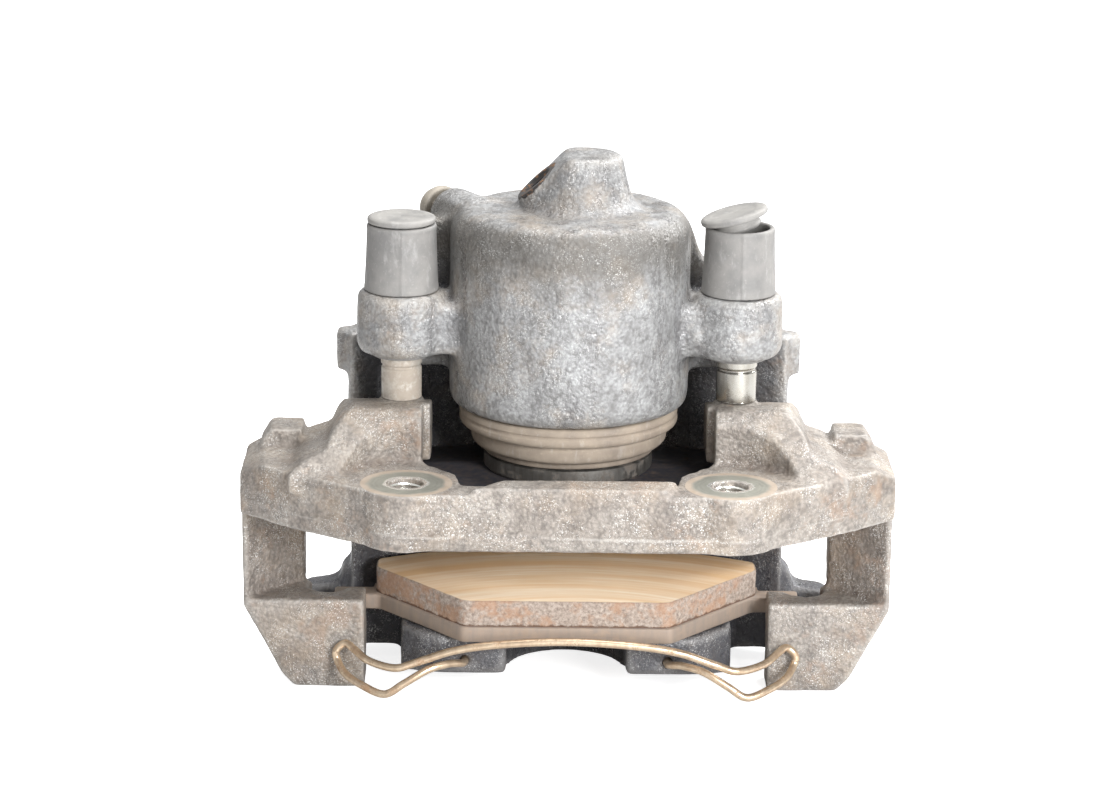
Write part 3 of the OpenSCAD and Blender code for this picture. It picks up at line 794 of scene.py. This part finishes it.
# %% Shared effects
def make_iron_grain_and_painted_light():
    """Sand-cast skin: a pebbled grain with wider pits, tiny painted glints in clusters,
    broad patches, wet streaks that ran downwards, ochre dust, packed dirt with painted
    shade deep in corners, and bands by place: painted shade over the outboard side and
    the bridge's inner wall, the shoulder below the crown, and the strip beside the disc."""
    tree, _, out = group("iron_grain_and_painted_light", [], [
        "Height", "Painted glints", "Patches", "Streaks", "Ochre", "Grime and shade", "Painted shade by place", "Shoulder", "Beside disc"])
    coords = new_node(tree, "ShaderNodeTexCoord").outputs["Object"]
    pebbles = new_node(tree, "ShaderNodeTexVoronoi", feature="SMOOTH_F1")
    tree.links.new(coords, pebbles.inputs["Vector"])
    pebbles.inputs["Scale"].default_value = 1 / (1.15 * MM)
    fine = noise(tree, coords, 0.9, 4, 0.7)
    pits = remap(tree, noise(tree, coords, 3.4, 3, 0.6), 0.34, 0.6)
    round_tops = maths(tree, "SUBTRACT", 1.0, pebbles.outputs["Distance"], True)
    height = maths(tree, "ADD", maths(tree, "MULTIPLY", fine, 0.45), maths(tree, "MULTIPLY", pits, 0.15))
    height = maths(tree, "ADD", height, maths(tree, "MULTIPLY", round_tops, 0.4))
    tree.links.new(height, out.inputs["Height"])
    # Painted glints: tiny white points in clusters, standing for the glitter of wet spots.
    painted_glints = remap(tree, noise(tree, coords, 0.44, 2, 0.6), 0.56, 0.66)
    clusters = remap(tree, noise(tree, coords, 9, 5, 0.7), 0.44, 0.64)
    tree.links.new(maths(tree, "MULTIPLY", painted_glints, clusters), out.inputs["Painted glints"])
    tree.links.new(remap(tree, noise(tree, coords, 24, 5, 0.65), 0.36, 0.64), out.inputs["Patches"])
    run = noise(tree, coords, 8, 5, 0.7, stretch=(1, 1, 0.3))
    tree.links.new(remap(tree, run, 0.48, 0.62), out.inputs["Streaks"])
    tree.links.new(remap(tree, noise(tree, coords, 19, 6, 0.7), 0.48, 0.66), out.inputs["Ochre"])
    # Dirt and painted shade: the colour darkens deep in corners, where shadow falls as well as dirt packs.
    deep = new_node(tree, "ShaderNodeAttribute", attribute_name="grime_and_shade").outputs["Fac"]
    uneven = remap(tree, noise(tree, coords, 4, 5, 0.7), 0.3, 0.6, 0.45, 1.0)
    tree.links.new(maths(tree, "MULTIPLY", deep, uneven, True), out.inputs["Grime and shade"])
    parts = new_node(tree, "ShaderNodeSeparateXYZ")
    tree.links.new(coords, parts.inputs[0])
    ragged = maths(tree, "MULTIPLY", maths(tree, "SUBTRACT", noise(tree, coords, 14, 4, 0.6), 0.5), 24 * MM)
    level = maths(tree, "ADD", parts.outputs["Z"], ragged)
    # Painted shade: the bridge's inner wall that faces the hub, and the outboard side lower down, are
    # darkened where shadow falls.
    normal = new_node(tree, "ShaderNodeSeparateXYZ")
    tree.links.new(new_node(tree, "ShaderNodeTexCoord").outputs["Normal"], normal.inputs[0])
    inside = maths(tree, "MULTIPLY", remap(tree, normal.outputs["Y"], -0.3, -0.8, 0.0, 0.8),
                   remap(tree, parts.outputs["Y"], 56 * MM, 60 * MM))
    inside = maths(tree, "MULTIPLY", inside, remap(
        tree, maths(tree, "ABSOLUTE", parts.outputs["X"]), 69 * MM, 66 * MM))
    low = maths(tree, "MULTIPLY", remap(tree, level, -20 * MM, -44 * MM),
                remap(tree, parts.outputs["Y"], 80 * MM, 72 * MM))
    tree.links.new(maths(tree, "MAXIMUM", low, inside), out.inputs["Painted shade by place"])
    below = remap(tree, level, 54 * MM, 66 * MM)
    above = remap(tree, parts.outputs["Z"], 76.6 * MM, 75 * MM)
    tree.links.new(maths(tree, "MULTIPLY", below, above), out.inputs["Shoulder"])
    beside = maths(tree, "MULTIPLY", remap(tree, level, -17 * MM, -28 * MM),
                   remap(tree, parts.outputs["Z"], -51 * MM, -47 * MM))
    tree.links.new(beside, out.inputs["Beside disc"])


def make_rust():
    """Rust blooms in blots: wide noise chooses the places and fine noise frays them."""
    tree, given, out = group("rust_bloom", [("Amount", 0.5), ("Size", 1.0)], ["Mask", "Tone"])
    coords = new_node(tree, "ShaderNodeTexCoord").outputs["Object"]
    scaled = new_node(tree, "ShaderNodeVectorMath", operation="SCALE")
    tree.links.new(coords, scaled.inputs[0])
    tree.links.new(given.outputs["Size"], scaled.inputs["Scale"])
    wide = noise(tree, scaled.outputs[0], 16, 5, 0.65)
    frayed = noise(tree, scaled.outputs[0], 2.4, 3, 0.6)
    value = maths(tree, "ADD", maths(tree, "MULTIPLY", wide, 0.75), maths(tree, "MULTIPLY", frayed, 0.25))
    edge = maths(tree, "SUBTRACT", 0.72, maths(tree, "MULTIPLY", given.outputs["Amount"], 0.34))
    tree.links.new(remap(tree, value, edge, maths(tree, "ADD", edge, 0.09)), out.inputs["Mask"])
    tree.links.new(frayed, out.inputs["Tone"])


def make_dust():
    """Dust settles on faces that look up and in hollows that nothing rubs."""
    tree, given, out = group("settled_dust", [("Amount", 0.5)], ["Mask"])
    texture = new_node(tree, "ShaderNodeTexCoord")
    up = new_node(tree, "ShaderNodeSeparateXYZ")
    tree.links.new(texture.outputs["Normal"], up.inputs[0])
    facing = remap(tree, up.outputs["Z"], 0.1, 0.95)
    worn = new_node(tree, "ShaderNodeAttribute", attribute_name="edge_wear")
    hollow = remap(tree, worn.outputs["Fac"], 0.5, 0.3)
    patchy = remap(tree, noise(tree, texture.outputs["Object"], 6, 5, 0.65), 0.36, 0.62)
    base = maths(tree, "ADD", maths(tree, "MULTIPLY", facing, 0.8), maths(tree, "MULTIPLY", hollow, 0.5))
    shaped = maths(tree, "MULTIPLY", base, patchy)
    tree.links.new(maths(tree, "MULTIPLY", shaped, given.outputs["Amount"], True), out.inputs["Mask"])


def make_edge_rub():
    """Outer edges lose their skin first: the stored edge_wear value, broken up."""
    tree, given, out = group("rubbed_edge", [("Amount", 0.5)], ["Mask"])
    coords = new_node(tree, "ShaderNodeTexCoord").outputs["Object"]
    worn = new_node(tree, "ShaderNodeAttribute", attribute_name="edge_wear")
    broken = noise(tree, coords, 2.0, 4, 0.7)
    value = maths(tree, "ADD", worn.outputs["Fac"], maths(tree, "MULTIPLY", broken, 0.2))
    mask = remap(tree, value, 0.74, 0.95)
    tree.links.new(maths(tree, "MULTIPLY", mask, given.outputs["Amount"], True), out.inputs["Mask"])


make_iron_grain_and_painted_light()
make_rust()
make_dust()
make_edge_rub()


# %% Finishes
def new_material(name, roughness=0.6, metallic=0.0):
    """A material with a Principled shader; returns it, its tree and the shader."""
    material = bpy.data.materials.new(name)
    material.use_nodes = True
    tree = material.node_tree
    shader = tree.nodes["Principled BSDF"]
    shader.inputs["Roughness"].default_value = roughness
    shader.inputs["Metallic"].default_value = metallic
    return material, tree, shader


def bump(tree, shader, height, depth, strength=1.0):
    """Feeds a height, worth `depth` mm from 0 to 1, to the shader's normal."""
    made = new_node(tree, "ShaderNodeBump")
    made.inputs["Strength"].default_value = strength
    made.inputs["Distance"].default_value = depth * MM
    feed(tree, made.inputs["Height"], height)
    tree.links.new(made.outputs[0], shader.inputs["Normal"])


def iron(name, body_colour, patch_colour, grime_and_shade_colour, rust_amount, dust_amount, glint_and_rub_amount, damp, low):
    """Weathered cast iron: a skin with patches, darker pits, a thin rust film, ochre
    dust, painted glints as tiny white points, dark dirt with painted shade deep in the
    corners, painted shade over the outboard side and the bridge's inner wall by `low`,
    a faint brown strip beside the disc where that shade is less, a stain on the
    shoulder, and damp streaks that are darker and shinier."""
    material, tree, shader = new_material(name)
    grain = place_group(tree, "iron_grain_and_painted_light")
    rust = place_group(tree, "rust_bloom", Amount=rust_amount)
    dust = place_group(tree, "settled_dust", Amount=dust_amount)
    rub = place_group(tree, "rubbed_edge", Amount=0.3 * glint_and_rub_amount)
    wet = maths(tree, "MULTIPLY", grain.outputs["Streaks"], damp)
    skin = mix(tree, grain.outputs["Patches"], body_colour, patch_colour)
    pit = remap(tree, grain.outputs["Height"], 0.4, 0.72, 0.55, 0.0)
    skin = mix(tree, pit, skin, colour(66, 62, 60))
    skin = mix(tree, maths(tree, "MULTIPLY", grain.outputs["Ochre"], 0.35), skin, colour(176, 156, 132))
    skin = mix(tree, maths(tree, "MULTIPLY", wet, 0.3), skin, colour(76, 74, 75))
    rusty = mix(tree, rust.outputs["Tone"], colour(104, 76, 58), colour(168, 134, 104))
    skin = mix(tree, maths(tree, "MULTIPLY", rust.outputs["Mask"], 0.4), skin, rusty)
    skin = mix(tree, dust.outputs["Mask"], skin, colour(196, 188, 178))
    # Painted shade in bluish grey over the outboard side and the bridge's inner wall, by `low`.
    skin = mix(tree, maths(tree, "MULTIPLY", grain.outputs["Painted shade by place"], low), skin, colour(58, 59, 66))
    heated = maths(tree, "MULTIPLY", grain.outputs["Beside disc"], 0.15 * (1 - low))
    skin = mix(tree, heated, skin, colour(84, 66, 54))
    # Dark dirt and painted shade deep in the corners, from the stored corner depth.
    skin = mix(tree, maths(tree, "MULTIPLY", grain.outputs["Grime and shade"], 0.85), skin, grime_and_shade_colour)
    skin = mix(tree, rub.outputs["Mask"], skin, colour(200, 197, 192))
    stain = maths(tree, "MULTIPLY", grain.outputs["Shoulder"], 0.7 * damp)
    skin = mix(tree, stain, skin, colour(92, 88, 82))
    # Painted glints: near-white points mixed into the base colour.
    painted_glints = maths(tree, "MULTIPLY", grain.outputs["Painted glints"], glint_and_rub_amount)
    skin = mix(tree, painted_glints, skin, colour(250, 250, 248))
    feed(tree, shader.inputs["Base Color"], skin)
    rough = maths(tree, "SUBTRACT", 0.56, maths(tree, "MULTIPLY", wet, 0.38))
    rough = maths(tree, "ADD", rough, maths(tree, "MULTIPLY", dust.outputs["Mask"], 0.25), True)
    feed(tree, shader.inputs["Roughness"], rough)
    metal = maths(tree, "MULTIPLY", maths(tree, "SUBTRACT", 1.0, rust.outputs["Mask"]), 0.3)
    feed(tree, shader.inputs["Metallic"], metal)
    bump(tree, shader, grain.outputs["Height"], 0.8, 0.9)
    return material


def faced_iron(name):
    """A faced boss: a clean tapped hole, dulled rings left by the cutter, and a rusty
    border. The distance from the hole's axis, sqrt((|x| - 50 mm)^2 + y^2), picks them."""
    material, tree, shader = new_material(name, 0.42, 0.7)
    coords = new_node(tree, "ShaderNodeTexCoord").outputs["Object"]
    parts = new_node(tree, "ShaderNodeSeparateXYZ")
    tree.links.new(coords, parts.inputs[0])
    across = maths(tree, "SUBTRACT", maths(tree, "ABSOLUTE", parts.outputs["X"]), MOUNT[0] * MM)
    square = maths(tree, "ADD", maths(tree, "MULTIPLY", across, across),
                   maths(tree, "MULTIPLY", parts.outputs["Y"], parts.outputs["Y"]))
    ragged = maths(tree, "MULTIPLY", maths(tree, "SUBTRACT", noise(tree, coords, 4, 4, 0.65), 0.5), 3 * MM)
    away = maths(tree, "ADD", maths(tree, "SQRT", square), ragged)
    border = remap(tree, away, 11.2 * MM, 12.6 * MM)
    tapped = remap(tree, away, 7.4 * MM, 6.6 * MM)
    stain = noise(tree, coords, 5, 5, 0.65)
    rings = new_node(tree, "ShaderNodeTexNoise", noise_dimensions="1D")
    feed(tree, rings.inputs["W"], away)
    rings.inputs["Scale"].default_value = 1 / (0.7 * MM)
    skin = mix(tree, stain, colour(186, 186, 176), colour(146, 145, 136))
    skin = mix(tree, maths(tree, "MULTIPLY", rings.outputs["Fac"], 0.4), skin, colour(128, 127, 118))
    rusty = mix(tree, stain, colour(140, 122, 104), colour(196, 184, 170))
    skin = mix(tree, border, skin, rusty)
    feed(tree, shader.inputs["Base Color"], mix(tree, tapped, skin, colour(236, 236, 230)))
    feed(tree, shader.inputs["Roughness"], remap(tree, tapped, 0.0, 1.0, 0.5, 0.24))
    feed(tree, shader.inputs["Metallic"], remap(tree, border, 0.0, 1.0, 0.75, 0.1))
    bump(tree, shader, rings.outputs["Fac"], 0.05, 0.6)
    return material


def oily_iron(name):
    """The hose port: black oily dirt, with rust flecks where it has dried."""
    material, tree, shader = new_material(name, 0.45, 0.0)
    coords = new_node(tree, "ShaderNodeTexCoord").outputs["Object"]
    flecks = remap(tree, noise(tree, coords, 2.6, 4, 0.65), 0.52, 0.62)
    feed(tree, shader.inputs["Base Color"], mix(tree, flecks, colour(48, 45, 44), colour(128, 96, 70)))
    feed(tree, shader.inputs["Roughness"], remap(tree, flecks, 0.0, 1.0, 0.38, 0.85))
    bump(tree, shader, flecks, 0.12, 0.8)
    return material


def steel(name, body_colour, dirt_colour, dirt_amount, roughness, metallic=0.9):
    """Ground or plated steel with dried dirt on it."""
    material, tree, shader = new_material(name, roughness, metallic)
    coords = new_node(tree, "ShaderNodeTexCoord").outputs["Object"]
    rust = place_group(tree, "rust_bloom", Amount=dirt_amount, Size=2.6)
    fine = noise(tree, coords, 1.6, 4, 0.7)
    streaks = remap(tree, noise(tree, coords, 2.2, 4, 0.6, stretch=(1, 1, 0.25)), 0.36, 0.64)
    skin = mix(tree, maths(tree, "MULTIPLY", streaks, dirt_amount), body_colour, dirt_colour)
    dirt = mix(tree, fine, dirt_colour, mix(tree, 0.35, dirt_colour, colour(90, 76, 62)))
    feed(tree, shader.inputs["Base Color"], mix(tree, rust.outputs["Mask"], skin, dirt))
    feed(tree, shader.inputs["Metallic"], remap(tree, rust.outputs["Mask"], 0.0, 1.0, metallic, 0.1))
    feed(tree, shader.inputs["Roughness"], remap(tree, rust.outputs["Mask"], 0.0, 1.0, roughness, 0.85))
    bump(tree, shader, fine, 0.08, 0.7)
    return material


def rubber(name, body_colour, dust_colour, dust_amount, roughness=0.75):
    """Moulded rubber or plastic with a dry film of dust in its hollows."""
    material, tree, shader = new_material(name, roughness, 0.0)
    coords = new_node(tree, "ShaderNodeTexCoord").outputs["Object"]
    film = remap(tree, noise(tree, coords, 9, 5, 0.62), 0.34, 0.66)
    fine = noise(tree, coords, 1.1, 3, 0.6)
    scuffs = remap(tree, noise(tree, coords, 3, 5, 0.7, stretch=(1, 1, 0.35)), 0.56, 0.68)
    dust = place_group(tree, "settled_dust", Amount=dust_amount)
    skin = mix(tree, maths(tree, "MULTIPLY", film, dust_amount, True), body_colour, dust_colour)
    skin = mix(tree, dust.outputs["Mask"], skin, dust_colour)
    skin = mix(tree, maths(tree, "MULTIPLY", remap(tree, fine, 0.6, 0.7), 0.35), skin, dust_colour)
    skin = mix(tree, maths(tree, "MULTIPLY", scuffs, 0.16), skin, mix(tree, 0.5, dust_colour, (1, 1, 1, 1)))
    feed(tree, shader.inputs["Base Color"], skin)
    feed(tree, shader.inputs["Roughness"], remap(tree, film, 0.0, 1.0, roughness - 0.15, roughness + 0.1))
    bump(tree, shader, fine, 0.06, 0.6)
    return material


def friction(name):
    """Pressed friction compound: gritty sides, and a worn face scored along the arcs
    that the disc drew on it. The worn face is pale partly as painted light, and its
    paler scratch lines partly as a painted sheen. The face's ends are browner than
    its middle, and a line of rust runs along the seam with the backplate."""
    material, tree, shader = new_material(name, 0.8, 0.0)
    texture = new_node(tree, "ShaderNodeTexCoord")
    coords = texture.outputs["Object"]
    parts = new_node(tree, "ShaderNodeSeparateXYZ")
    tree.links.new(coords, parts.inputs[0])
    from_hub = maths(tree, "ADD", parts.outputs["Y"], -HUB_Y * MM)
    radius = maths(tree, "SQRT", maths(tree, "ADD", maths(tree, "MULTIPLY", from_hub, from_hub),
                                       maths(tree, "MULTIPLY", parts.outputs["X"], parts.outputs["X"])))
    arcs = new_node(tree, "ShaderNodeCombineXYZ")
    feed(tree, arcs.inputs["X"], maths(tree, "MULTIPLY", parts.outputs["X"], 0.05))
    tree.links.new(radius, arcs.inputs["Y"])
    score_and_sheen = noise(tree, arcs.outputs[0], 1.4, 5, 0.7)
    broad = noise(tree, arcs.outputs[0], 7, 3, 0.6)
    ends = remap(tree, maths(tree, "ABSOLUTE", parts.outputs["X"]), 18 * MM, 54 * MM)
    grit = noise(tree, coords, 1.2, 4, 0.75)
    normal = new_node(tree, "ShaderNodeSeparateXYZ")
    tree.links.new(texture.outputs["Normal"], normal.inputs[0])
    face = remap(tree, maths(tree, "ABSOLUTE", normal.outputs["Z"]), 0.8, 0.97)
    # Painted light: the worn face is made pale, partly standing for light on a face in the bar's shade, and
    # palest along the scratch lines as a painted sheen.
    worn = mix(tree, remap(tree, score_and_sheen, 0.3, 0.7), colour(232, 214, 186), colour(250, 243, 231))
    worn = mix(tree, remap(tree, broad, 0.4, 0.62, 0.0, 0.8), worn, colour(228, 200, 162))
    rusty_ends = maths(tree, "MULTIPLY", ends, remap(tree, broad, 0.3, 0.6, 0.3, 0.7))
    worn = mix(tree, rusty_ends, worn, colour(204, 168, 122))
    side = mix(tree, remap(tree, grit, 0.35, 0.65), colour(124, 110, 100), colour(176, 163, 152))
    rust = place_group(tree, "rust_bloom", Amount=0.7, Size=1.2)
    side = mix(tree, maths(tree, "MULTIPLY", rust.outputs["Mask"], 0.6), side, colour(160, 120, 90))
    # a ragged line of rust where the compound meets its backplate, about 19 mm from the
    # disc's middle
    from_disc = maths(tree, "ABSOLUTE", maths(tree, "ADD", parts.outputs["Z"], -DISC_Z * MM))
    ragged = maths(tree, "MULTIPLY", maths(tree, "SUBTRACT", noise(tree, coords, 2.5, 3, 0.7), 0.5), 2.4 * MM)
    seam = remap(tree, maths(tree, "ADD", from_disc, ragged), 18.7 * MM, 19.1 * MM)
    side = mix(tree, maths(tree, "MULTIPLY", seam, 0.85), side, colour(86, 62, 48))
    feed(tree, shader.inputs["Base Color"], mix(tree, face, side, worn))
    height = mix(tree, face, grit, maths(tree, "MULTIPLY", score_and_sheen, 0.4))
    bump(tree, shader, height, 0.35, 0.8)
    return material


# Per call: the third colour is dirt with painted shade for corners, the third number from the end sets
# painted glints and rubbed edges, and the last sets painted shade over the outboard side.
housing_iron = iron("housing_iron", colour(176, 177, 178), colour(146, 146, 146), colour(46, 48, 56),
                    0.3, 0.15, 0.5, 1.0, 0.8)
carrier_iron = iron("carrier_iron", colour(180, 173, 165), colour(144, 135, 127), colour(70, 54, 44),
                    0.5, 0.2, 0.8, 0.5, 0.1)
machined_face = faced_iron("faced_iron")
port_face = oily_iron("port_face")
dirty_pin = steel("dirty_pin_steel", colour(192, 187, 179), colour(178, 168, 156), 0.75, 0.45, 0.4)
bright_pin = steel("bright_pin_steel", colour(182, 180, 174), colour(140, 130, 114), 0.35, 0.24, 1.0)
small_steel = steel("small_steel", colour(170, 166, 158), colour(130, 116, 100), 0.5, 0.5)
spring_wire = steel("spring_wire", colour(220, 200, 174), colour(168, 138, 110), 0.5, 0.3, 0.85)
piston_steel = steel("piston_steel", colour(136, 134, 130), colour(104, 98, 92), 0.6, 0.5)
backplate_steel = steel("backplate_steel", colour(146, 134, 124), colour(164, 146, 130), 0.6, 0.7, 0.4)
shaded_plate = steel("shaded_plate_steel", colour(62, 63, 70), colour(98, 86, 78), 0.45, 0.5, 0.4)
bush_rubber = rubber("bush_rubber", colour(116, 115, 114), colour(158, 155, 151), 0.5, 0.62)
cap_plastic = rubber("cap_plastic", colour(120, 119, 118), colour(162, 159, 154), 0.6, 0.6)
boot_rubber = rubber("boot_rubber", colour(134, 123, 112), colour(178, 164, 147), 0.6)
cap_rubber = rubber("cap_rubber", colour(128, 122, 112), colour(178, 170, 158), 0.7)
seal_rubber = rubber("seal_rubber", colour(40, 39, 39), colour(100, 94, 88), 0.35)
lining_compound = friction("friction_lining")

floor_paint, floor_tree, floor_shader = new_material("floor_paint", 0.7, 0.0)
floor_shader.inputs["Base Color"].default_value = (0.8, 0.8, 0.8, 1)
floor_shader.inputs["Emission Color"].default_value = (1, 1, 1, 1)
feed(floor_tree, floor_shader.inputs["Emission Strength"], maths(
    floor_tree, "MULTIPLY", new_node(floor_tree, "ShaderNodeLightPath").outputs["Is Camera Ray"], 0.8))
floor_mesh.materials.append(floor_paint)

FINISHES = {
    "housing_casting": housing_iron, "carrier_casting": carrier_iron,
    "mount_boss_left": machined_face, "mount_boss_right": machined_face, "hose_port": port_face,
    "dust_boot_folds": boot_rubber, "guide_sleeve_left": bush_rubber, "guide_sleeve_right": bush_rubber,
    "sleeve_cap_left": cap_plastic, "sleeve_cap_right": cap_plastic,
    "ground_pin_left": dirty_pin, "ground_pin_right": bright_pin, "wire_spring": spring_wire,
    "inner_friction_block": lining_compound, "outer_friction_block": lining_compound,
    "inner_pad_plate": shaded_plate, "outer_pad_plate": backplate_steel,
    "bleed_screw_turned": small_steel, "bleed_cap_moulded": cap_rubber,
    "piston": piston_steel, "piston_seal": seal_rubber, "boot_ring": small_steel,
    "piston_clip": small_steel, "clip_rivets": small_steel}
for piece_name, finish in FINISHES.items():
    mesh = bpy.data.objects[piece_name].data
    if "edge_wear" not in mesh.attributes and piece_name not in nodes:
        store_wear(mesh, near=2)
    mesh.materials.clear()
    mesh.materials.append(finish)
